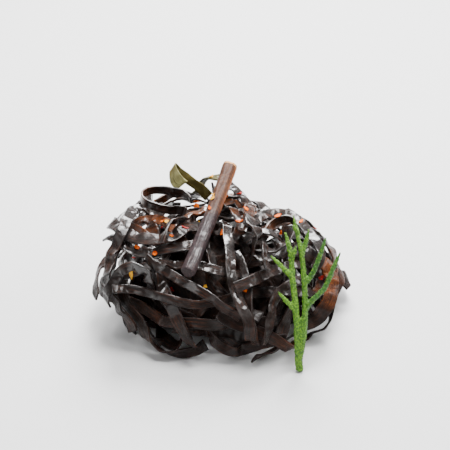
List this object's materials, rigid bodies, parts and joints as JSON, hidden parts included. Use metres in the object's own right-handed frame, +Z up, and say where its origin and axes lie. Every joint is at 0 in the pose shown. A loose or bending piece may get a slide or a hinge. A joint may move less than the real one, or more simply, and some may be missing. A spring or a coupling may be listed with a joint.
{
  "type": "shredded kombu",
  "caption": "Heap of simmered shredded kombu: long dark kelp strips tangled into a mound, with a thick stalk over it, a green frond and a green garnish sprig.",
  "frame": {"origin": "middle of the heap's box, on the surface that it rests on", "axes": "+Z up; -Y towards the front, from which the sprig and the thick stalk's foot are seen; +X to the right seen from the front"},
  "size_m": [0.0824, 0.0728, 0.0481],
  "materials": {
    "kombu": "wet, glossy",
    "kombu_stalk": "wet, satin",
    "green_frond": "wet, satin",
    "sprig": "matte, granular"
  },
  "bodies": {
    "root": {"inner_tangle": "kombu", "lower_strip_01": "kombu", "lower_strip_02": "kombu", "lower_strip_03": "kombu", "lower_strip_04": "kombu", "lower_strip_05": "kombu", "lower_strip_06": "kombu", "lower_strip_07": "kombu", "lower_strip_08": "kombu", "lower_strip_09": "kombu", "lower_strip_10": "kombu", "lower_strip_11": "kombu", "lower_strip_12": "kombu", "foot_strip_01": "kombu", "foot_strip_02": "kombu", "foot_strip_03": "kombu", "foot_strip_04": "kombu", "foot_strip_05": "kombu", "foot_strip_06": "kombu", "outer_strip_01": "kombu", "outer_strip_02": "kombu", "outer_strip_03": "kombu", "outer_strip_04": "kombu", "outer_strip_05": "kombu", "outer_strip_06": "kombu", "outer_strip_07": "kombu", "outer_strip_08": "kombu", "outer_strip_09": "kombu", "outer_strip_10": "kombu", "outer_strip_11": "kombu", "outer_strip_12": "kombu", "outer_strip_13": "kombu", "green_frond": "green_frond", "under_loop": "kombu", "left_inner": "kombu", "under_arch": "kombu", "left_side": "kombu", "left_hook": "kombu", "low_left": "kombu", "low_middle": "kombu", "middle_fall_thin": "kombu", "middle_fall": "kombu", "low_right_curl": "kombu", "low_right_band": "kombu", "right_face": "kombu", "small_ring": "kombu", "shoulder": "kombu", "bright_fall": "kombu", "left_band_lower": "kombu", "left_band_upper": "kombu", "glossy_band": "kombu", "right_lobe": "kombu", "left_rim": "kombu", "right_crest": "kombu", "arch": "kombu", "behind_stalk": "kombu", "top_left_loop": "kombu", "stalk": "kombu_stalk", "garnish_sprig": "sprig"}
  },
  "joints": []
}
